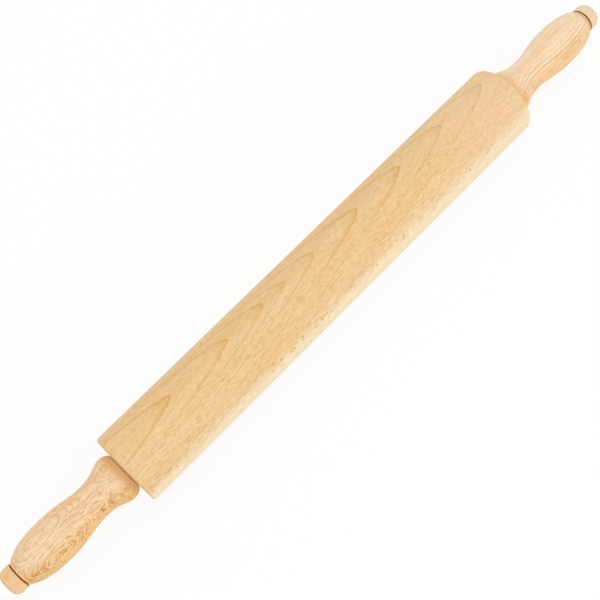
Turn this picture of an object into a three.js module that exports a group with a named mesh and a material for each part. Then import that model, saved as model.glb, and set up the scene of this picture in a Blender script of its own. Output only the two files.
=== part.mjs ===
// Rolling pin with revolving handles, all turned from beech.
// A plain roller carries a headed wooden peg glued into each end. Each handle is a bored sleeve that
// spins on its peg's shank, kept on by the peg's head, which shows as a button past the handle.
// The pin lies along X on the plane Z = 0, with the origin under the roller's middle.

import * as THREE from 'three';

// Driving dimensions of the roller, in millimetres
const ROLLER_DIAMETER = 60;
const ROLLER_LENGTH = 412;
const ROLLER_EDGE_RADIUS = 2.6;

// Driving dimensions of a handle: diameters at its stations, then the lengths between them
const HANDLE_FOOT_DIAMETER = 28.4;
const HANDLE_BEAD_DIAMETER = 37.8;
const HANDLE_NECK_DIAMETER = 28;
const HANDLE_BELLY_DIAMETER = 35.5;
const HANDLE_END_DIAMETER = 21.4;
const FOOT_TO_BEAD = 8.5;
const BEAD_TO_NECK = 22.6;
const NECK_TO_BELLY = 35.6;
const BELLY_TO_END = 32.3;

// Driving dimensions of a headed peg
const PEG_SHANK_DIAMETER = 12;
const PEG_TENON_LENGTH = 45;
const PEG_TIP_CHAMFER = 1.5;
const PEG_HEAD_DIAMETER = 21.2;
const PEG_HEAD_RIM = 4.9;
const PEG_HEAD_CROWN = 5.8;
const PEG_HEAD_FLAT_DIAMETER = 12.6;

// Fits and the drilled holes
const GLUE_GAP = 0.15;
const RUNNING_CLEARANCE = 0.3;
const FOOT_GAP = 0.3;
const HEAD_GAP = 1;
const SOCKET_GLUE_POCKET = 2;
const DRILL_POINT_HEIGHT = 2.4;
const HOLE_MOUTH_CHAMFER = 0.8;

// Shares of a stretch over which the handle's outline stays near its direction at each end
const BEAD_PULL = 0.24;
const NECK_INNER_PULL = 0.63;
const NECK_OUTER_PULL = 0.34;
const BELLY_INNER_PULL = 0.46;
const BELLY_OUTER_PULL = 0.4;
const END_PULL = 0.23;
const END_FALL = 0.74;

// Flats around each turned piece, and straight steps along each curve of an outline
const ROLLER_SIDES = 64;
const HANDLE_SIDES = 40;
const PEG_SIDES = 32;
const EDGE_STEPS = 4;
const CURVE_STEPS = 8;

// Sizes that follow from the driving dimensions
const rollerRadius = ROLLER_DIAMETER / 2;
const rollerHalf = ROLLER_LENGTH / 2;
const shankRadius = PEG_SHANK_DIAMETER / 2;
const handleLength = FOOT_TO_BEAD + BEAD_TO_NECK + NECK_TO_BELLY + BELLY_TO_END;
const headSeat = FOOT_GAP + handleLength + HEAD_GAP;

// A point of an outline: its distance from the pin's axis, and its place along that axis
function at(radius, along) {
  return new THREE.Vector2(radius, along);
}

// A quarter of an ellipse about a centre, between two angles counted from the outward direction
function quarterRound(centre, outward, along, startAngle, endAngle) {
  const arc = new THREE.EllipseCurve(centre.x, centre.y, outward, along, startAngle, endAngle);
  return arc.getPoints(EDGE_STEPS);
}

// An S-shaped stretch of an outline that runs level along the axis at both of its ends
function levelSweep(start, end, startPull, endPull) {
  const length = end.y - start.y;
  const startGuide = at(start.x, start.y + startPull * length);
  const endGuide = at(end.x, end.y - endPull * length);
  return new THREE.CubicBezierCurve(start, startGuide, endGuide, end).getPoints(CURVE_STEPS);
}

// Turns an outline about the axis. The flats, not the corners, lie on the outline's radii, with one
// flat facing straight down, and the turning axis is laid along X.
function turned(name, outline, sides, material) {
  const halfStep = Math.PI / sides;
  const points = outline.map((point) => at(point.x / Math.cos(halfStep), point.y));
  const geometry = new THREE.LatheGeometry(points, sides, halfStep);
  geometry.rotateZ(-Math.PI / 2);
  const mesh = new THREE.Mesh(geometry, material);
  mesh.name = name;
  return mesh;
}

// Oiled beech in one shade
function beech(color) {
  return new THREE.MeshStandardMaterial({ color, roughness: 0.55, metalness: 0 });
}

// The roller: rounded end edges, and in each end a drilled socket with a cone left by the drill's point
function makeRoller() {
  const socketRadius = shankRadius + GLUE_GAP;
  const socketFloor = rollerHalf - PEG_TENON_LENGTH - SOCKET_GLUE_POCKET;
  const edgeCentre = at(rollerRadius - ROLLER_EDGE_RADIUS, rollerHalf - ROLLER_EDGE_RADIUS);
  const rightEnd = [
    ...quarterRound(edgeCentre, ROLLER_EDGE_RADIUS, ROLLER_EDGE_RADIUS, 0, Math.PI / 2),
    at(socketRadius + HOLE_MOUTH_CHAMFER, rollerHalf),
    at(socketRadius, rollerHalf - HOLE_MOUTH_CHAMFER),
    at(socketRadius, socketFloor),
    at(0, socketFloor - DRILL_POINT_HEIGHT),
  ];
  const leftEnd = rightEnd.map((point) => at(point.x, -point.y)).reverse();
  return turned('roller', [...leftEnd, ...rightEnd], ROLLER_SIDES, beech(0xedc894));
}

// A handle, from its flat foot by the roller outwards: bead, neck, belly, flat end, and back down the bore
function makeHandle(name) {
  const boreRadius = shankRadius + RUNNING_CLEARANCE;
  const mouthRadius = boreRadius + HOLE_MOUTH_CHAMFER;
  const footRadius = HANDLE_FOOT_DIAMETER / 2;
  const bead = at(HANDLE_BEAD_DIAMETER / 2, FOOT_TO_BEAD);
  const neck = at(HANDLE_NECK_DIAMETER / 2, bead.y + BEAD_TO_NECK);
  const belly = at(HANDLE_BELLY_DIAMETER / 2, neck.y + NECK_TO_BELLY);
  const end = at(HANDLE_END_DIAMETER / 2, handleLength);
  const bellyGuide = at(belly.x, belly.y + BELLY_OUTER_PULL * BELLY_TO_END);
  const endGuide = at(end.x + END_FALL * (belly.x - end.x), end.y - END_PULL * BELLY_TO_END);
  const endCurve = new THREE.CubicBezierCurve(belly, bellyGuide, endGuide, end);
  const outline = [
    at(mouthRadius, 0),
    ...quarterRound(at(footRadius, bead.y), bead.x - footRadius, FOOT_TO_BEAD, -Math.PI / 2, 0),
    ...levelSweep(bead, neck, BEAD_PULL, NECK_INNER_PULL).slice(1),
    ...levelSweep(neck, belly, NECK_OUTER_PULL, BELLY_INNER_PULL).slice(1),
    ...endCurve.getPoints(CURVE_STEPS).slice(1),
    at(mouthRadius, handleLength),
    at(boreRadius, handleLength - HOLE_MOUTH_CHAMFER),
    at(boreRadius, HOLE_MOUTH_CHAMFER),
    at(mouthRadius, 0),
  ];
  const handle = turned(name, outline, HANDLE_SIDES, beech(0xf1d0a8));
  handle.position.x = FOOT_GAP;
  return handle;
}

// A headed peg, from the tip of its glued tenon out along the shank to the button's crowned end
function makeAxlePeg(name) {
  const headRadius = PEG_HEAD_DIAMETER / 2;
  const flatRadius = PEG_HEAD_FLAT_DIAMETER / 2;
  const crownStart = headSeat + PEG_HEAD_RIM;
  const outline = [
    at(0, -PEG_TENON_LENGTH),
    at(shankRadius - PEG_TIP_CHAMFER, -PEG_TENON_LENGTH),
    at(shankRadius, -PEG_TENON_LENGTH + PEG_TIP_CHAMFER),
    at(shankRadius, headSeat),
    at(headRadius, headSeat),
    ...quarterRound(at(flatRadius, crownStart), headRadius - flatRadius, PEG_HEAD_CROWN, 0, Math.PI / 2),
    at(0, crownStart + PEG_HEAD_CROWN),
  ];
  return turned(name, outline, PEG_SIDES, beech(0xf0cb9e));
}

// The assembly: both ends are alike, and the left one is the right one turned about the vertical
const rollingPin = new THREE.Group();
rollingPin.position.z = rollerRadius;
rollingPin.add(makeRoller());

for (const [side, turn] of [['left', Math.PI], ['right', 0]]) {
  const pinEnd = new THREE.Group();
  pinEnd.rotation.z = turn;
  const onEndFace = new THREE.Group();
  onEndFace.position.x = rollerHalf;
  onEndFace.add(makeAxlePeg(`${side}_axle_peg`), makeHandle(`${side}_handle`));
  pinEnd.add(onEndFace);
  rollingPin.add(pinEnd);
}

export default rollingPin;
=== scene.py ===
import math

import bmesh
import bpy
from mathutils import Color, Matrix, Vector
from mathutils.geometry import interpolate_bezier


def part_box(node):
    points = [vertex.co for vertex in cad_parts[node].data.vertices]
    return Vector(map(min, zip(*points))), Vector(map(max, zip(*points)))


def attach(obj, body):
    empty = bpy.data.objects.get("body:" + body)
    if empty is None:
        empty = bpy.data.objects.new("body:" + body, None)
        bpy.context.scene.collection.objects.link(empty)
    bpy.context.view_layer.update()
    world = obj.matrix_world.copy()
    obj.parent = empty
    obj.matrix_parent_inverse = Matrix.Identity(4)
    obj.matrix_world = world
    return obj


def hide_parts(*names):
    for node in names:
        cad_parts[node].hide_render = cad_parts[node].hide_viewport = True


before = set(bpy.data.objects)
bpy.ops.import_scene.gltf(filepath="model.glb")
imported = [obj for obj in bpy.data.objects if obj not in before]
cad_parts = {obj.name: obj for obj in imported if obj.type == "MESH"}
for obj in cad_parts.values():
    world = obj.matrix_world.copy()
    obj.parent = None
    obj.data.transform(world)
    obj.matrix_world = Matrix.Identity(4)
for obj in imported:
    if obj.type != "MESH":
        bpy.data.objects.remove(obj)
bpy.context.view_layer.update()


# Camera
# The photograph looks down on the pin from above its left end, with the pin running corner to corner.
# The left end is the nearer one, so its handle looks larger and the roller narrows to the right.
LENS_MM = 62.16
SENSOR_MM = 36.0
VIEW_AZIMUTH = math.radians(-45.96)
VIEW_ELEVATION = math.radians(72.30)
VIEW_DISTANCE = 0.7786
AIM_POINT = Vector((-0.02726, -0.00092, 0.030))

towards_camera = Vector((
    math.sin(VIEW_AZIMUTH) * math.cos(VIEW_ELEVATION),
    -math.cos(VIEW_AZIMUTH) * math.cos(VIEW_ELEVATION),
    math.sin(VIEW_ELEVATION),
))
camera = bpy.data.objects.new("camera", bpy.data.cameras.new("camera"))
camera.data.lens = LENS_MM
camera.data.sensor_width = SENSOR_MM
camera.location = AIM_POINT + VIEW_DISTANCE * towards_camera
camera.rotation_mode = "QUATERNION"
camera.rotation_quaternion = (-towards_camera).to_track_quat("-Z", "Y")
bpy.context.scene.collection.objects.link(camera)
bpy.context.scene.camera = camera


# Roller
# One solid length of beech, turned to a plain cylinder, sanded and oiled, its end edges rounded over.
# Each end face is drilled with a blind socket that the axle peg's tenon is glued into.
roller_low, roller_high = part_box("roller")
AXIS_HEIGHT = (roller_low.z + roller_high.z) / 2
ROLLER_RADIUS = (roller_high.z - roller_low.z) / 2
ROLLER_HALF = (roller_high.x - roller_low.x) / 2
ROLLER_EDGE = 0.0026
SOCKET_RADIUS = 0.00615
SOCKET_DEPTH = 0.047
DRILL_POINT = 0.0024
MOUTH_CHAMFER = 0.0008
BARREL_ROWS = 24
EDGE_STEPS = 10
ROLLER_SIDES = 192
CREASE_ANGLE = math.radians(35)
MM_PER_METRE = 1000.0
NOISE_MIDDLE = 0.5
SMOOTH_NOISE = 1.0
FINE_NOISE = 2.0


def quarter_round(radius, along, outward, lengthwise, start, end):
    """Points on a quarter of an ellipse about (radius, along); the angles count from straight outward."""
    angles = [start + (end - start) * step / EDGE_STEPS for step in range(EDGE_STEPS + 1)]
    return [(radius + outward * math.cos(a), along + lengthwise * math.sin(a)) for a in angles]


def turn(name, outline, sides, hollow=False):
    """Turns an outline of (radius, along) points about the pin's axis into one closed, smooth piece.
    A hollow piece's outline runs round and meets itself; any other starts and ends on the axis."""
    work = bmesh.new()
    rings = []
    for radius, along in outline:
        spots = sides if radius > 0 else 1
        angles = [2 * math.pi * spot / spots for spot in range(spots)]
        rings.append([
            work.verts.new((along, -radius * math.sin(a), AXIS_HEIGHT + radius * math.cos(a)))
            for a in angles
        ])
    neighbours = list(zip(rings, rings[1:]))
    if hollow:
        neighbours.append((rings[-1], rings[0]))
    for ring, following in neighbours:
        for spot in range(sides):
            after = (spot + 1) % sides
            corners = [ring[spot % len(ring)], ring[after % len(ring)]]
            corners += [following[after % len(following)], following[spot % len(following)]]
            work.faces.new(list(dict.fromkeys(corners)))
    bmesh.ops.recalc_face_normals(work, faces=work.faces)
    mesh = bpy.data.meshes.new(name)
    work.to_mesh(mesh)
    work.free()
    mesh.shade_smooth()
    mesh.set_sharp_from_angle(angle=CREASE_ANGLE)
    piece = bpy.data.objects.new(name, mesh)
    bpy.context.scene.collection.objects.link(piece)
    return piece


edge_radius = ROLLER_RADIUS - ROLLER_EDGE
edge_along = ROLLER_HALF - ROLLER_EDGE
socket_floor = ROLLER_HALF - SOCKET_DEPTH
right_end = quarter_round(edge_radius, edge_along, ROLLER_EDGE, ROLLER_EDGE, 0, math.pi / 2)
right_end += [
    (SOCKET_RADIUS + MOUTH_CHAMFER, ROLLER_HALF),
    (SOCKET_RADIUS, ROLLER_HALF - MOUTH_CHAMFER),
    (SOCKET_RADIUS, socket_floor),
    (0, socket_floor - DRILL_POINT),
]
left_end = [(radius, -along) for radius, along in reversed(right_end)]
barrel = [
    (ROLLER_RADIUS, edge_along * (2 * row / BARREL_ROWS - 1))
    for row in range(1, BARREL_ROWS)
]
roller = turn("beech_roller", left_end + barrel + right_end, ROLLER_SIDES)


def add_node(tree, kind, feeds, **options):
    """Adds a shader node, sets its options, and feeds its inputs from other nodes or with plain values."""
    node = tree.nodes.new("ShaderNode" + kind)
    for option, value in options.items():
        setattr(node, option, value)
    for key, feed in feeds.items():
        if isinstance(feed, bpy.types.NodeSocket):
            tree.links.new(feed, node.inputs[key])
        else:
            node.inputs[key].default_value = feed
    return node


def calculate(tree, operation, *feeds):
    """One step of arithmetic in a shader tree."""
    return add_node(tree, "Math", dict(enumerate(feeds)), operation=operation).outputs[0]


def stretched_noise(tree, along, around, growth, sizes, seed, detail):
    """Noise drawn out along the grain: sizes are its grain in millimetres along, around and outward."""
    place = add_node(tree, "CombineXYZ", {
        0: calculate(tree, "DIVIDE", along, sizes[0]),
        1: calculate(tree, "DIVIDE", around, sizes[1]),
        2: calculate(tree, "DIVIDE", growth, sizes[2]),
    })
    noise = add_node(tree, "TexNoise", {
        "Vector": place.outputs[0], "W": seed, "Scale": 1.0, "Detail": detail,
    }, noise_dimensions="4D")
    return noise.outputs[0]


def swing(tree, noise, amount):
    """Turns noise between 0 and 1 into a swing to either side of nought, as wide as the amount."""
    return calculate(tree, "MULTIPLY", calculate(tree, "SUBTRACT", noise, NOISE_MIDDLE), amount)


def shape(tree, value, low, high, low_out=0.0, high_out=1.0):
    """Eases a value from low to high into the range low_out to high_out."""
    eased = add_node(tree, "MapRange", {
        "Value": value, "From Min": low, "From Max": high, "To Min": low_out, "To Max": high_out,
    }, interpolation_type="SMOOTHSTEP")
    return eased.outputs[0]


def blend_colour(tree, amount, first, second, mode="MIX"):
    """Mixes two colours by an amount from 0 to 1."""
    mix = add_node(tree, "Mix", {0: amount, 6: first, 7: second}, data_type="RGBA", blend_type=mode)
    return mix.outputs[2]


def make_group(name, inputs, outputs):
    """An empty shader node group with named float or colour sockets; gives its tree and both ends."""
    tree = bpy.data.node_groups.new(name, "ShaderNodeTree")
    for socket, kind in inputs:
        tree.interface.new_socket(socket, in_out="INPUT", socket_type="NodeSocket" + kind)
    for socket, kind in outputs:
        tree.interface.new_socket(socket, in_out="OUTPUT", socket_type="NodeSocket" + kind)
    return tree, tree.nodes.new("NodeGroupInput").outputs, tree.nodes.new("NodeGroupOutput").inputs


def make_log_place():
    """Where in the tree a point of a piece grew. Pole Turn is the direction of the tree's pith, counted
    about the pin's axis from straight up towards -Y, and Pith Depth how far off it is at the place Middle
    along the pin; Lean is how steeply the piece was cut across the grain and Bow how that grows with each
    millimetre along, Twist how the grain winds, and Ridge how sharply the rings are bent where they face
    the pole. Wander and Ripple are the rings' unevenness. It gives millimetres out from the pith
    as the rings count it (Growth) and as the fibres do (Radius), around the pith and along, how far a
    point lies poleward, and how flat to the rings its surface is cut."""
    tree, given, result = make_group(
        "log_place",
        [("Pole Turn", "Float"), ("Twist", "Float"), ("Middle", "Float"), ("Lean", "Float"),
         ("Bow", "Float"), ("Pith Depth", "Float"), ("Ridge", "Float"), ("Wander", "Float"),
         ("Ripple", "Float"), ("Seed", "Float")],
        [("Growth", "Float"), ("Radius", "Float"), ("Around", "Float"), ("Along", "Float"),
         ("Poleward", "Float"), ("Flat Cut", "Float")],
    )
    wander_sizes = (150.0, 26.0, 26.0)
    ripple_sizes = (11.0, 2.0, 2.0)
    ridge_blunting = 3.5
    ridge_fade = (-8.0, 8.0)
    fibre_lean = 0.3
    coordinates = add_node(tree, "TexCoord", {}).outputs
    axis_place = (0.0, 0.0, AXIS_HEIGHT)
    from_axis = add_node(
        tree, "VectorMath", {0: coordinates["Object"], 1: axis_place}, operation="SUBTRACT").outputs[0]
    scaled = add_node(
        tree, "VectorMath", {0: from_axis, "Scale": MM_PER_METRE}, operation="SCALE").outputs[0]
    along, across, up = add_node(tree, "SeparateXYZ", {0: scaled}).outputs
    pole = calculate(tree, "MULTIPLY_ADD", given["Twist"], along, given["Pole Turn"])

    def turn_to_pole(vector):
        turned = add_node(
            tree, "VectorRotate", {"Vector": vector, "Angle": calculate(tree, "MULTIPLY", pole, -1.0)},
            rotation_type="X_AXIS")
        return add_node(tree, "SeparateXYZ", {0: turned.outputs[0]}).outputs

    _, sideways, poleward = turn_to_pole(scaled)

    # Slow wandering of the trunk and the fine unevenness of each ring
    wander = stretched_noise(tree, along, across, up, wander_sizes, given["Seed"], SMOOTH_NOISE)
    ripple = stretched_noise(tree, along, across, up, ripple_sizes, given["Seed"], FINE_NOISE)
    drift = calculate(
        tree, "ADD", swing(tree, wander, given["Wander"]), swing(tree, ripple, given["Ripple"]))

    # A ridge along the pole, where the rings end in a point
    square = calculate(tree, "MULTIPLY", sideways, sideways)
    bend = calculate(tree, "SQRT", calculate(tree, "ADD", square, ridge_blunting ** 2))
    bend = calculate(tree, "SUBTRACT", bend, ridge_blunting)
    bend = calculate(tree, "MULTIPLY", bend, given["Ridge"])
    bend = calculate(tree, "MULTIPLY", bend, shape(tree, poleward, *ridge_fade))

    # The depth down to the pith, which changes along the piece as it leans across the log
    level_depth = calculate(tree, "SUBTRACT", given["Pith Depth"], poleward)
    level_depth = calculate(tree, "ADD", level_depth, drift)
    from_middle = calculate(tree, "SUBTRACT", along, given["Middle"])
    lean = calculate(tree, "MULTIPLY_ADD", from_middle, given["Bow"], given["Lean"])
    rise = calculate(tree, "MULTIPLY", from_middle, lean)
    depth = calculate(tree, "ADD", calculate(tree, "ADD", level_depth, rise), bend)
    growth = calculate(tree, "SQRT", calculate(tree, "MULTIPLY_ADD", depth, depth, square))

    # The fibres and rays follow the piece more closely than the rings do
    fibre_depth = calculate(tree, "MULTIPLY_ADD", rise, fibre_lean, level_depth)
    radius = calculate(tree, "SQRT", calculate(tree, "MULTIPLY_ADD", fibre_depth, fibre_depth, square))
    angle = calculate(tree, "ARCTAN2", sideways, fibre_depth)

    # The surface's own direction against the direction in which the tree grew there
    _, facing_sideways, facing_pole = turn_to_pole(coordinates["Normal"])
    flat_cut = calculate(tree, "SUBTRACT", calculate(tree, "MULTIPLY", facing_pole, depth),
                         calculate(tree, "MULTIPLY", facing_sideways, sideways))
    flat_cut = calculate(tree, "ABSOLUTE", calculate(tree, "DIVIDE", flat_cut, growth))

    tree.links.new(growth, result["Growth"])
    tree.links.new(radius, result["Radius"])
    tree.links.new(calculate(tree, "MULTIPLY", angle, given["Pith Depth"]), result["Around"])
    tree.links.new(along, result["Along"])
    tree.links.new(poleward, result["Poleward"])
    tree.links.new(flat_cut, result["Flat Cut"])
    return tree


def make_beech_figure():
    """The look of beech at a place in the log: yearly rings that end in a thin broken line, rays that show
    as short dark dashes or, where the cut runs along them, as orange flecks, fine streaks and fibres, a
    tone laid on the side away from the pith, and end grain. Wave bends the rays, in millimetres,
    Side Ring is how much of the rings shows where the cut is no flatter to them than Side Cut, Fleck Reach
    how far from a cut along the rays the flecks still show, Sheet Line how clearly the rays' edges are drawn
    there as lines, and Outer Rays how much of the dashes the side away from the pith keeps."""
    tree, given, result = make_group(
        "beech_figure",
        [("Years", "Float"), ("Radius", "Float"), ("Around", "Float"), ("Along", "Float"),
         ("Poleward", "Float"), ("Flat Cut", "Float"), ("Seed", "Float"), ("Pale Wood", "Color"),
         ("Warm Wood", "Color"), ("Late Wood", "Color"), ("Dash", "Color"), ("Fleck", "Color"),
         ("Outer Side Tone", "Color"), ("End Grain", "Color"), ("Ring Line", "Float"), ("Line Share", "Float"),
         ("Line Break", "Float"), ("Ring Shade", "Float"), ("Shade Start", "Float"), ("Year Change", "Float"),
         ("Side Ring", "Float"), ("Side Cut", "Float"), ("Wave", "Float"), ("Dash Strength", "Float"),
         ("Dash Length", "Float"), ("Dash Depth", "Float"), ("Fleck Strength", "Float"),
         ("Fleck Length", "Float"), ("Fleck Reach", "Float"), ("Sheet Line", "Float"),
         ("Streak Strength", "Float"), ("Fibre Strength", "Float"), ("Outer Strength", "Float"),
         ("Outer Rays", "Float"), ("End Strength", "Float")],
        [("Colour", "Color"), ("Roughness", "Float"), ("Height", "Float")],
    )
    along, radius = given["Along"], given["Radius"]

    # Each tuple below that goes into shape holds low, high and, where given, what comes out at each
    def grain_noise(around, sizes, detail):
        """Noise drawn out along the piece's own fibres, of sizes in millimetres."""
        return stretched_noise(tree, along, around, radius, sizes, given["Seed"], detail)

    def scattered(length, width, depth, edge, core, rare):
        """Spots strewn through the log, of a size along, around and outward. Edge and core are shares of that
        size, and rare is the chance that a spot has to beat to show."""
        cell = [calculate(tree, "DIVIDE", place, size)
                for place, size in ((along, length), (around, width), (radius, depth))]
        strewn = [calculate(tree, "ADD", place, given["Seed"]) for place in cell]
        place = add_node(tree, "CombineXYZ", dict(enumerate(strewn)))
        cells = add_node(tree, "TexVoronoi", {"Vector": place.outputs[0], "Scale": 1.0, "Randomness": 1.0})
        chance = add_node(tree, "SeparateColor", {0: cells.outputs["Color"]}).outputs[0]
        spot = shape(tree, cells.outputs["Distance"], edge, core)
        return calculate(tree, "MULTIPLY", spot, shape(tree, chance, rare, 1.0))

    # End grain, where the surface cuts across the fibres
    end_reach = (0.42, 0.62)
    facing = add_node(tree, "TexCoord", {}).outputs["Normal"]
    lengthwise = calculate(tree, "ABSOLUTE", add_node(tree, "SeparateXYZ", {0: facing}).outputs[0])
    end_grain = shape(tree, lengthwise, *end_reach)
    side_grain = calculate(tree, "SUBTRACT", 1.0, end_grain)

    # A tone laid on the side away from the pith; on the roller it is partly paler outer wood and partly a
    # painted sheen
    outer_reach = (13.0, -3.0)
    outer_fade = (-6.0, -24.0, 1.0, 0.35)
    outer = shape(tree, given["Poleward"], *outer_reach, 0.0, given["Outer Strength"])
    outer = calculate(tree, "MULTIPLY", outer, shape(tree, given["Poleward"], *outer_fade))
    inner = shape(tree, given["Poleward"], *outer_reach, 1.0, given["Outer Rays"])

    # Fibres, wavy streaks and clouding
    wave_sizes = (7.0, 3.0, 3.0)
    fibre_sizes = (4.0, 0.6, 0.6)
    streak_sizes = (26.0, 0.7, 10.0)
    streak_range = (0.5, 0.66)
    cloud_sizes = (110.0, 9.0, 9.0)
    cloud_range = (0.3, 0.7)
    wave = grain_noise(given["Around"], wave_sizes, SMOOTH_NOISE)
    around = calculate(tree, "ADD", swing(tree, wave, given["Wave"]), given["Around"])
    fibre = grain_noise(around, fibre_sizes, FINE_NOISE)
    streak = grain_noise(around, streak_sizes, SMOOTH_NOISE)
    streak = shape(tree, streak, *streak_range, 0.0, given["Streak Strength"])
    cloud = shape(tree, grain_noise(around, cloud_sizes, FINE_NOISE), *cloud_range)

    # Yearly rings, each with a growing shade and a thin broken line at its end
    line_rise = (0.0, 0.6)
    line_gaps = (0.55, 0.4)
    full_flatness = 0.95
    end_grain_rings = 0.8
    season = calculate(tree, "FRACT", given["Years"])
    year = calculate(tree, "FLOOR", given["Years"])
    yearly = add_node(tree, "TexWhiteNoise", {"W": year}, noise_dimensions="1D").outputs[0]
    yearly = calculate(tree, "MULTIPLY", yearly, given["Year Change"])
    yearly = calculate(tree, "SUBTRACT", 1.0, yearly)
    late_shade = shape(tree, season, given["Shade Start"], 1.0, 0.0, given["Ring Shade"])
    line_start = calculate(tree, "SUBTRACT", 1.0, given["Line Share"])
    line = calculate(tree, "DIVIDE", calculate(tree, "SUBTRACT", season, line_start), given["Line Share"])
    line = calculate(tree, "MULTIPLY", shape(tree, line, *line_rise), given["Ring Line"])
    broken = calculate(tree, "MULTIPLY", shape(tree, fibre, *line_gaps), given["Line Break"])
    line = calculate(tree, "MULTIPLY", line, calculate(tree, "SUBTRACT", 1.0, broken))
    ring = calculate(tree, "MULTIPLY", calculate(tree, "MAXIMUM", line, late_shade), yearly)
    flatness = shape(tree, given["Flat Cut"], given["Side Cut"], full_flatness)
    ring_share = add_node(tree, "MapRange", {"Value": flatness, "To Min": given["Side Ring"]}).outputs[0]
    end_rings = calculate(tree, "MULTIPLY", end_grain, end_grain_rings)
    ring_share = calculate(tree, "MAXIMUM", ring_share, end_rings)
    ring = calculate(tree, "MULTIPLY", ring, ring_share)

    # Rays, as dashes across them and as flecks along them
    dash_width = 0.6
    dash_spot = (0.5, 0.25, 0.3)
    dash_on_flat = (1.0, 0.7, 0.3, 1.0)
    fleck_width = 2.3
    fleck_depth = 2.6
    fleck_spot = (0.5, 0.3, 0.45)
    fleck_core = 0.3
    dash = scattered(given["Dash Length"], dash_width, given["Dash Depth"], *dash_spot)
    dash = calculate(tree, "MULTIPLY", dash, calculate(tree, "MULTIPLY", inner, given["Dash Strength"]))
    dash = calculate(tree, "MULTIPLY", dash, shape(tree, given["Flat Cut"], *dash_on_flat))
    full_fleck = calculate(tree, "MULTIPLY", given["Fleck Reach"], fleck_core)
    fleck = shape(tree, given["Flat Cut"], given["Fleck Reach"], full_fleck, 0.0, given["Fleck Strength"])
    fleck = calculate(tree, "MULTIPLY", fleck, side_grain)
    spots = scattered(given["Fleck Length"], fleck_width, fleck_depth, *fleck_spot)
    fleck = calculate(tree, "MULTIPLY", fleck, spots)

    # The rays' edges, as broken lines round each place where the cut runs along them
    sheet_spacing = 0.3
    sheet_edge = (0.19, 0.035)
    sheet_reach = (0.5, 0.15)
    sheet_gap_sizes = (3.0, 0.8, 3.0)
    sheet_gaps = (0.42, 0.58, 0.3, 1.0)
    sheet = shape(tree, calculate(tree, "PINGPONG", around, sheet_spacing), *sheet_edge)
    unbroken = shape(tree, grain_noise(around, sheet_gap_sizes, SMOOTH_NOISE), *sheet_gaps)
    sheet = calculate(tree, "MULTIPLY", sheet, unbroken)
    sheet_share = shape(tree, given["Flat Cut"], *sheet_reach, 0.0, given["Sheet Line"])
    dash = calculate(tree, "MAXIMUM", dash, calculate(tree, "MULTIPLY", sheet, sheet_share))

    # Colour, one effect laid over another, with the fibres' light and dark over all
    fibre_warmth = (0.75, 1.0, 1.6)
    colour = blend_colour(tree, cloud, given["Pale Wood"], given["Warm Wood"])
    colour = blend_colour(tree, outer, colour, given["Outer Side Tone"])
    colour = blend_colour(tree, calculate(tree, "MULTIPLY", streak, inner), colour, given["Dash"])
    colour = blend_colour(tree, ring, colour, given["Late Wood"])
    end_shade = calculate(tree, "MULTIPLY", end_grain, given["End Strength"])
    colour = blend_colour(tree, end_shade, colour, given["End Grain"])
    colour = blend_colour(tree, dash, colour, given["Dash"])
    colour = blend_colour(tree, fleck, colour, given["Fleck"])
    shade = swing(tree, fibre, given["Fibre Strength"])
    channels = [calculate(tree, "MULTIPLY_ADD", shade, share, 1.0) for share in fibre_warmth]
    fibre_colour = add_node(tree, "CombineColor", dict(enumerate(channels))).outputs[0]
    tree.links.new(blend_colour(tree, 1.0, colour, fibre_colour, "MULTIPLY"), result["Colour"])

    # Gloss and relief: rings and rays are harder and smoother, end grain is rougher
    plain_roughness = 0.55
    ring_roughness = -0.08
    end_roughness = 0.15
    ray_roughness = -0.12
    fibre_height = 0.6
    ring_height = -0.3
    ray_height = -0.35
    ray = calculate(tree, "MAXIMUM", dash, fleck)
    rough = calculate(tree, "MULTIPLY_ADD", ring, ring_roughness, plain_roughness)
    rough = calculate(tree, "MULTIPLY_ADD", end_grain, end_roughness, rough)
    rough = calculate(tree, "MULTIPLY_ADD", ray, ray_roughness, rough)
    tree.links.new(rough, result["Roughness"])
    height = calculate(tree, "MULTIPLY", ring, ring_height)
    height = calculate(tree, "MULTIPLY_ADD", fibre, fibre_height, height)
    height = calculate(tree, "MULTIPLY_ADD", ray, ray_height, height)
    tree.links.new(height, result["Height"])
    return tree


log_place = make_log_place()
beech_figure = make_beech_figure()
OILED_WOOD_IOR = 1.47
RELIEF_STRENGTH = 0.35


def colour_of(red, green, blue):
    """A colour given as it looks on screen, 0 to 255 a channel, in the linear values that shaders use."""
    on_screen = Color([channel / 255 for channel in (red, green, blue)])
    return (*on_screen.from_srgb_to_scene_linear(), 1.0)


def listed_years(first_ring, widths):
    """Years counted outward from first_ring, in millimetres from the pith, with a width for each year."""
    span = sum(widths)

    def count(tree, growth):
        share = calculate(tree, "DIVIDE", calculate(tree, "SUBTRACT", growth, first_ring), span)
        curve = add_node(tree, "FloatCurve", {"Value": share})
        curve.mapping.use_clip = False
        curve.mapping.extend = "EXTRAPOLATED"
        points = curve.mapping.curves[0].points
        for year in range(1, len(widths)):
            points.new(sum(widths[:year]) / span, year / len(widths))
        for point in points:
            point.handle_type = "VECTOR"
        curve.mapping.update()
        return calculate(tree, "MULTIPLY", curve.outputs[0], float(len(widths)))

    return count


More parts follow.
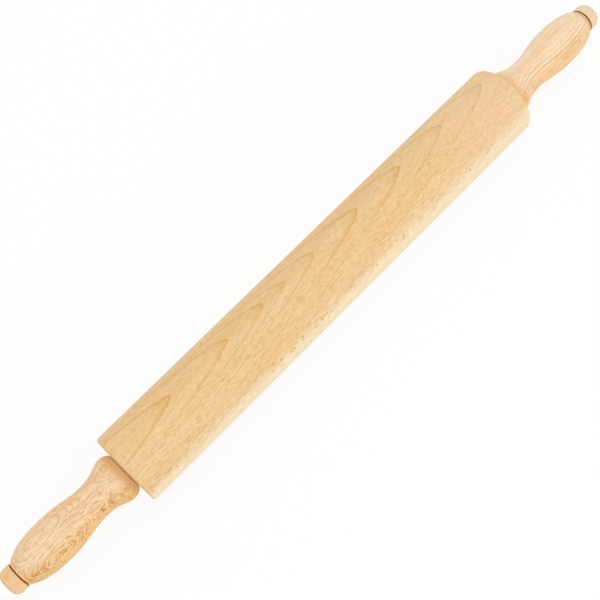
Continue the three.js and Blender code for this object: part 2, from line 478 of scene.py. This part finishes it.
def make_beech(name, log, years, figure, relief):
    """Oiled beech for one piece: its place in the log, how its years run, its colours, and its relief."""
    material = bpy.data.materials.new(name)
    material.use_nodes = True
    tree = material.node_tree
    shader = tree.nodes["Principled BSDF"]
    shader.inputs["IOR"].default_value = OILED_WOOD_IOR
    place = add_node(tree, "Group", log, node_tree=log_place)
    feeds = {**figure, "Seed": log["Seed"], "Years": years(tree, place.outputs["Growth"])}
    for socket in ("Radius", "Around", "Along", "Poleward", "Flat Cut"):
        feeds[socket] = place.outputs[socket]
    look = add_node(tree, "Group", feeds, node_tree=beech_figure)
    bump = add_node(tree, "Bump", {
        "Strength": RELIEF_STRENGTH, "Distance": relief, "Height": look.outputs["Height"],
    })
    tree.links.new(look.outputs["Colour"], shader.inputs["Base Color"])
    tree.links.new(look.outputs["Roughness"], shader.inputs["Roughness"])
    tree.links.new(bump.outputs[0], shader.inputs["Normal"])
    return material


def tint_stretch(material, direction, full, none, tint, strength):
    """Tints a piece's wood along the pin, growing from none to full at two places outward, in metres."""
    tree = material.node_tree
    base_colour = tree.nodes["Principled BSDF"].inputs["Base Color"]
    wood_colour = base_colour.links[0].from_socket
    outward = add_node(tree, "SeparateXYZ", {0: add_node(tree, "TexCoord", {}).outputs["Object"]}).outputs[0]
    outward = calculate(tree, "MULTIPLY", outward, float(direction))
    share = shape(tree, outward, none, full, 0.0, strength)
    tree.links.new(blend_colour(tree, share, wood_colour, tint), base_colour)


ROLLER_LEAN = 0.15
ROLLER_BOW = 0.0001
ROLLER_PITH = 200.0
RING_TIPS = (-148.1, -90.5, -54.3, -31.7, -0.4, 46.8, 95.9, 143.8, 192.3)
HIDDEN_YEARS = (6.4, 5.2, 6.0, 4.4, 5.4, 6.8, 5.8, 4.6, 6.2, 5.2, 6.6, 5.6, 4.4, 5.8, 5.0)
PALE_END_START = 0.08
PALE_END_FULL = 0.19
PALE_END_STRENGTH = 0.27
PALE_END_TINT = colour_of(242, 211, 179)

tip_rises = [tip * (ROLLER_LEAN + ROLLER_BOW * tip) for tip in RING_TIPS]
seen_years = [rise - before for before, rise in zip(tip_rises, tip_rises[1:])]
first_ring = ROLLER_PITH - ROLLER_RADIUS * MM_PER_METRE + tip_rises[0]
# The roller's pale cream Outer Side Tone, with few dashes (Outer Rays), is a painted sheen along its lamp-lit
# lower side, partly standing for paler outer wood
roller_wood = make_beech(
    "roller_beech",
    {"Pole Turn": math.radians(-22.5), "Twist": math.radians(-0.031), "Middle": 0.0, "Lean": ROLLER_LEAN,
     "Bow": ROLLER_BOW, "Pith Depth": ROLLER_PITH, "Ridge": 0.27, "Wander": 1.6, "Ripple": 0.9, "Seed": 3.0},
    listed_years(first_ring, (*seen_years, *HIDDEN_YEARS)),
    {"Pale Wood": colour_of(237, 202, 149), "Warm Wood": colour_of(233, 193, 134),
     "Late Wood": colour_of(212, 147, 46), "Dash": colour_of(200, 138, 60), "Fleck": colour_of(222, 158, 24),
     "Outer Side Tone": colour_of(246, 229, 192), "End Grain": colour_of(226, 180, 118), "Ring Line": 0.85,
     "Line Share": 0.065, "Line Break": 0.5, "Ring Shade": 0.4, "Shade Start": 0.72, "Year Change": 0.2,
     "Side Ring": 0.28, "Side Cut": 0.72, "Wave": 0.5, "Dash Strength": 0.5, "Dash Length": 8.0,
     "Dash Depth": 1.3, "Fleck Strength": 0.95, "Fleck Length": 3.3, "Fleck Reach": 0.14, "Sheet Line": 0.0,
     "Streak Strength": 0.12, "Fibre Strength": 0.9, "Outer Strength": 0.9, "Outer Rays": 0.1,
     "End Strength": 0.5},
    relief=0.0002,
)

# The wood pales towards the roller's right end
tint_stretch(roller_wood, 1, PALE_END_FULL, PALE_END_START, PALE_END_TINT, PALE_END_STRENGTH)
roller.data.materials.append(roller_wood)
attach(roller, "roller_and_pegs")
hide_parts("roller")


# Axle pegs
# A turned beech peg through each handle: a tenon glued into the roller, a plain shank that the handle
# runs on, and a head with a crowned end that keeps the handle on and shows as a button.
SHANK_RADIUS = 0.006
TENON_LENGTH = 0.045
TIP_CHAMFER = 0.0015
HEAD_GAP = 0.001
HEAD_RIM = 0.0049
HEAD_FLAT_RADIUS = 0.0063
HEAD_ARRIS = 0.0006
PEG_SIDES = 128
# Painted shade in the gap between handle and head: how far it reaches past the seat and how strong it is
GAP_SHADE_DEPTH = 0.0004
GAP_SHADE_STRENGTH = 1.0
PEG_FIRST_RING = 40.0
PEG_YEARS = (3.1, 2.2, 2.6, 3.4, 1.9, 2.8, 3.2, 2.4, 2.0, 2.9, 3.5, 2.3, 2.7, 3.0, 2.1)

peg_woods = {
    "left": {"Pale Wood": colour_of(244, 210, 164), "Warm Wood": colour_of(240, 199, 146)},
    "right": {"Pale Wood": colour_of(243, 221, 190), "Warm Wood": colour_of(239, 210, 172)},
}
# The colour of the painted gap shade on each side
gap_shade_tints = {"left": colour_of(223, 166, 81), "right": colour_of(192, 128, 24)}
for side, direction, seed in (("left", -1, 11.0), ("right", 1, 14.0)):
    peg_low, peg_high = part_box(f"{side}_axle_peg")
    handle_low, handle_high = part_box(f"{side}_handle")
    head_radius = (peg_high.z - peg_low.z) / 2
    head_end = max(abs(peg_low.x), abs(peg_high.x))
    head_seat = max(abs(handle_low.x), abs(handle_high.x)) + HEAD_GAP
    crown_start = head_seat + HEAD_RIM
    tenon_tip = ROLLER_HALF - TENON_LENGTH
    outline = [
        (0, tenon_tip),
        (SHANK_RADIUS - TIP_CHAMFER, tenon_tip),
        (SHANK_RADIUS, tenon_tip + TIP_CHAMFER),
        (SHANK_RADIUS, head_seat),
    ]
    outline += quarter_round(
        head_radius - HEAD_ARRIS, head_seat + HEAD_ARRIS, HEAD_ARRIS, HEAD_ARRIS, -math.pi / 2, 0)
    outline += quarter_round(
        HEAD_FLAT_RADIUS, crown_start, head_radius - HEAD_FLAT_RADIUS, head_end - crown_start, 0, math.pi / 2)
    outline.append((0, head_end))
    peg = turn(f"{side}_peg", [(radius, direction * along) for radius, along in outline], PEG_SIDES)
    wood = make_beech(
        f"{side}_peg_beech",
        {"Pole Turn": math.radians(70), "Twist": 0.0, "Middle": direction * head_seat * MM_PER_METRE,
         "Lean": 0.03, "Bow": 0.0, "Pith Depth": 60.0, "Ridge": 0.0, "Wander": 0.8, "Ripple": 0.3,
         "Seed": seed},
        listed_years(PEG_FIRST_RING, PEG_YEARS),
        {**peg_woods[side], "Late Wood": colour_of(214, 160, 100), "Dash": colour_of(206, 150, 92),
         "Fleck": colour_of(214, 150, 84), "End Grain": colour_of(232, 190, 140), "Ring Line": 0.35,
         "Line Share": 0.2, "Line Break": 0.6, "Ring Shade": 0.25, "Shade Start": 0.3, "Year Change": 0.5,
         "Side Ring": 0.7, "Side Cut": 0.45, "Wave": 0.6, "Dash Strength": 0.4, "Dash Length": 5.0,
         "Dash Depth": 1.3, "Fleck Strength": 0.4, "Fleck Length": 2.2, "Fleck Reach": 0.25,
         "Sheet Line": 0.0, "Streak Strength": 0.25, "Fibre Strength": 0.4, "Outer Strength": 0.0,
         "Outer Rays": 1.0, "End Strength": 0.4},
        relief=0.00015,
    )

    # Painted shade in the gap under each head: the shank and the head's inner face are tinted dark, as that
    # gap lies in shade
    gap_shade_end = head_seat + GAP_SHADE_DEPTH
    tint_stretch(wood, direction, head_seat, gap_shade_end, gap_shade_tints[side], GAP_SHADE_STRENGTH)
    peg.data.materials.append(wood)
    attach(peg, "roller_and_pegs")
    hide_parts(f"{side}_axle_peg")


# Handles
# A sleeve turned from a beech blank for each hand: a rounded bead beside the roller, a slim neck, and a
# full belly that falls away to the end. A through bore runs loosely on the axle peg, so the handle spins.
BEAD_RADIUS = 0.0189
NECK_RADIUS = 0.014
BELLY_RADIUS = 0.01775
END_RADIUS = 0.0107
FOOT_RADIUS = 0.0142
BEAD_PLACE = 0.0085
NECK_PLACE = 0.0311
BELLY_PLACE = 0.0667
BEAD_PULL = 0.24
NECK_INNER_PULL = 0.63
NECK_OUTER_PULL = 0.34
BELLY_INNER_PULL = 0.46
BELLY_OUTER_PULL = 0.40
END_PULL = 0.23
END_FALL = 0.74
BORE_RADIUS = 0.0063
END_ARRIS = 0.0009
# Painted shade on each handle's foot beside the roller: how far it reaches, how strong it is, and its colour
FOOT_SHADE_REACH = 0.015
FOOT_SHADE_STRENGTH = 0.75
FOOT_SHADE_TINT = colour_of(228, 178, 106)
# Painted light on the foot's rim right by the roller, lifting the shade in the groove there: its reach,
# strength and colour
RIM_LIGHT_REACH = 0.004
RIM_LIGHT_STRENGTH = 0.8
RIM_LIGHT_TINT = colour_of(255, 238, 196)
HANDLE_SIDES = 160
CURVE_STEPS = 24


def sweep(start, start_guide, end_guide, end):
    """Points on a smooth curve between two (radius, along) places, after the first one."""
    knots = [Vector((radius, along)) for radius, along in (start, start_guide, end_guide, end)]
    points = interpolate_bezier(*knots, CURVE_STEPS + 1)
    return [(point.x, point.y) for point in points][1:]


def level_sweep(start, end, start_pull, end_pull):
    """An S-shaped curve that runs level along the axis at both of its ends."""
    length = end[1] - start[1]
    start_guide = (start[0], start[1] + start_pull * length)
    end_guide = (end[0], end[1] - end_pull * length)
    return sweep(start, start_guide, end_guide, end)


def handle_outline(length):
    """A handle's outline from its foot outwards and back down the bore, along 0 at the foot."""
    bead, neck = (BEAD_RADIUS, BEAD_PLACE), (NECK_RADIUS, NECK_PLACE)
    belly, end = (BELLY_RADIUS, BELLY_PLACE), (END_RADIUS, length - END_ARRIS)
    belly_to_end = length - BELLY_PLACE
    belly_guide = (BELLY_RADIUS, BELLY_PLACE + BELLY_OUTER_PULL * belly_to_end)
    end_guide = (END_RADIUS + END_FALL * (BELLY_RADIUS - END_RADIUS), length - END_PULL * belly_to_end)
    mouth = BORE_RADIUS + MOUTH_CHAMFER
    outline = [(mouth, 0)]
    outline += quarter_round(FOOT_RADIUS, BEAD_PLACE, BEAD_RADIUS - FOOT_RADIUS, BEAD_PLACE, -math.pi / 2, 0)
    outline += level_sweep(bead, neck, BEAD_PULL, NECK_INNER_PULL)
    outline += level_sweep(neck, belly, NECK_OUTER_PULL, BELLY_INNER_PULL)
    outline += sweep(belly, belly_guide, end_guide, end)
    arris_centre = (END_RADIUS - END_ARRIS, length - END_ARRIS)
    outline += quarter_round(*arris_centre, END_ARRIS, END_ARRIS, 0, math.pi / 2)[1:]
    outline += [(mouth, length), (BORE_RADIUS, length - MOUTH_CHAMFER), (BORE_RADIUS, MOUTH_CHAMFER)]
    return outline


handle_logs = {
    "left": {"Pole Turn": math.radians(-25), "Twist": 0.0, "Middle": -281.5, "Lean": 0.081,
             "Bow": 0.0, "Pith Depth": 58.0, "Ridge": 0.0, "Wander": 0.6, "Ripple": 0.4, "Seed": 21.0},
    "right": {"Pole Turn": math.radians(-25), "Twist": 0.0, "Middle": 255.0, "Lean": 0.02,
              "Bow": 0.0, "Pith Depth": 75.0, "Ridge": 0.0, "Wander": 2.0, "Ripple": 0.8, "Seed": 27.0},
}
LEFT_FIRST_RING = 40.2
RIGHT_FIRST_RING = 55.0
LEFT_YEARS = (0.9, 2.2, 1.6, 1.1, 1.2, 1.5, 1.6, 2.1, 1.8, 2.2, 2.5, 2.0, 2.3, 1.9, 2.2, 2.1, 2.0, 2.3, 2.1)
RIGHT_YEARS = (3.0, 2.2, 2.8, 2.4, 3.2, 2.6, 2.2, 3.0, 2.5, 2.9, 2.3, 2.7, 3.1, 2.4, 2.8)
handle_years = {
    "left": listed_years(LEFT_FIRST_RING, LEFT_YEARS),
    "right": listed_years(RIGHT_FIRST_RING, RIGHT_YEARS),
}
handle_looks = {
    "left": {"Pale Wood": colour_of(248, 219, 183), "Warm Wood": colour_of(244, 207, 159),
             "Late Wood": colour_of(214, 148, 78), "Dash": colour_of(204, 136, 56),
             "Fleck": colour_of(204, 130, 2), "Outer Side Tone": colour_of(244, 199, 130),
             "End Grain": colour_of(224, 168, 84), "Ring Line": 0.62, "Line Share": 0.24, "Line Break": 0.4,
             "Ring Shade": 0.1, "Shade Start": 0.3, "Year Change": 0.2, "Side Ring": 0.55, "Side Cut": 0.45,
             "Wave": 0.6, "Dash Strength": 0.85, "Dash Length": 6.0, "Dash Depth": 3.0, "Fleck Strength": 1.0,
             "Fleck Length": 2.8, "Fleck Reach": 0.2, "Sheet Line": 0.65, "Streak Strength": 0.4,
             "Fibre Strength": 0.7, "Outer Strength": 0.9, "Outer Rays": 1.0, "End Strength": 0.5},
    "right": {"Pale Wood": colour_of(249, 226, 195), "Warm Wood": colour_of(244, 211, 168),
              "Late Wood": colour_of(216, 146, 56), "Dash": colour_of(214, 154, 84),
              "Fleck": colour_of(220, 146, 60), "Outer Side Tone": colour_of(244, 199, 134),
              "End Grain": colour_of(190, 122, 44), "Ring Line": 0.18, "Line Share": 0.3, "Line Break": 0.5,
              "Ring Shade": 0.09, "Shade Start": 0.3, "Year Change": 0.4, "Side Ring": 5.0, "Side Cut": 0.45,
              "Wave": 0.8, "Dash Strength": 0.3, "Dash Length": 6.0, "Dash Depth": 1.3,
              "Fleck Strength": 0.75, "Fleck Length": 2.2, "Fleck Reach": 0.14, "Sheet Line": 0.0,
              "Streak Strength": 0.25, "Fibre Strength": 0.6, "Outer Strength": 0.5, "Outer Rays": 1.0,
              "End Strength": 0.9},
}
for side, direction in (("left", -1), ("right", 1)):
    low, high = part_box(f"{side}_handle")
    foot = min(abs(low.x), abs(high.x))
    placed = [(radius, direction * (foot + along)) for radius, along in handle_outline(high.x - low.x)]
    handle = turn(f"{side}_turned_handle", placed, HANDLE_SIDES, hollow=True)
    wood = make_beech(
        f"{side}_handle_beech", handle_logs[side], handle_years[side], handle_looks[side], relief=0.00015)

    # Painted shade on the foot beside the roller, fading out along the handle, and painted light on its rim
    # right by the roller, which lifts that shade again
    tint_stretch(wood, direction, foot, foot + FOOT_SHADE_REACH, FOOT_SHADE_TINT, FOOT_SHADE_STRENGTH)
    tint_stretch(wood, direction, foot, foot + RIM_LIGHT_REACH, RIM_LIGHT_TINT, RIM_LIGHT_STRENGTH)
    handle.data.materials.append(wood)
    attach(handle, f"{side}_grip")
    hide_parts(f"{side}_handle")


# Floor
# A plain white studio sweep that the pin lies on. Seen by the camera it is close to pure white, and it
# still takes the pin's soft shadow.
FLOOR_HALF = 6.0
FLOOR_DROP = 0.0002
FLOOR_GLOW = 0.88
FLOOR_COLOUR = (0.95, 0.95, 0.95, 1.0)
WHITE = (1.0, 1.0, 1.0, 1.0)

floor_mesh = bpy.data.meshes.new("floor")
floor_corners = [(-1, -1), (1, -1), (1, 1), (-1, 1)]
floor_mesh.from_pydata(
    [(x * FLOOR_HALF, y * FLOOR_HALF, -FLOOR_DROP) for x, y in floor_corners], [], [(0, 1, 2, 3)])
floor = bpy.data.objects.new("floor", floor_mesh)
bpy.context.scene.collection.objects.link(floor)


def seen_directly(tree):
    """1 where a surface is seen by the camera, in a reflection or through glass, and 0 for plain light."""
    light_path = add_node(tree, "LightPath", {}).outputs
    seen = calculate(tree, "MAXIMUM", light_path["Is Camera Ray"], light_path["Is Glossy Ray"])
    return calculate(tree, "MAXIMUM", seen, light_path["Is Transmission Ray"])


floor_paper = bpy.data.materials.new("floor_paper")
floor_paper.use_nodes = True
tree = floor_paper.node_tree
tree.nodes.remove(tree.nodes["Principled BSDF"])
matt = add_node(tree, "BsdfDiffuse", {"Color": FLOOR_COLOUR})
glow = add_node(tree, "Emission", {"Color": WHITE, "Strength": 1.0})
glow_share = calculate(tree, "MULTIPLY", seen_directly(tree), FLOOR_GLOW)
paper = add_node(tree, "MixShader", {0: glow_share, 1: matt.outputs[0], 2: glow.outputs[0]})
tree.links.new(paper.outputs[0], tree.nodes["Material Output"].inputs["Surface"])
floor_mesh.materials.append(floor_paper)


# Light
# A broad soft lamp low on the near long side lights the pin's pale edge there, painted into the roller's
# colour too as a sheen; a weaker one overhead keeps the far side open, and a white surround fills the rest.
SURROUND_LEVEL = 0.82

# Each lamp's name, place, width in metres and watts
LAMPS = (
    ("side_lamp", Vector((0.30, -1.30, 0.90)), 1.1, 4.2),
    ("overhead_lamp", Vector((-0.10, 0.45, 1.50)), 1.2, 3.4),
)

for name, spot, width, watts in LAMPS:
    lamp = bpy.data.objects.new(name, bpy.data.lights.new(name, "AREA"))
    lamp.data.shape = "DISK"
    lamp.data.size = width
    lamp.data.energy = watts
    lamp.location = spot
    lamp.rotation_mode = "QUATERNION"
    lamp.rotation_quaternion = (Vector((0, 0, AXIS_HEIGHT)) - spot).to_track_quat("-Z", "Y")
    bpy.context.scene.collection.objects.link(lamp)

surround = bpy.data.worlds.new("surround")
surround.use_nodes = True
bpy.context.scene.world = surround
tree = surround.node_tree
fill = tree.nodes["Background"]
fill.inputs["Color"].default_value = WHITE
fill.inputs["Strength"].default_value = SURROUND_LEVEL
white = add_node(tree, "Background", {"Color": WHITE, "Strength": 1.0})
backdrop = add_node(tree, "MixShader", {0: seen_directly(tree), 1: fill.outputs[0], 2: white.outputs[0]})
tree.links.new(backdrop.outputs[0], tree.nodes["World Output"].inputs["Surface"])
bpy.context.scene.view_settings.view_transform = "Standard"
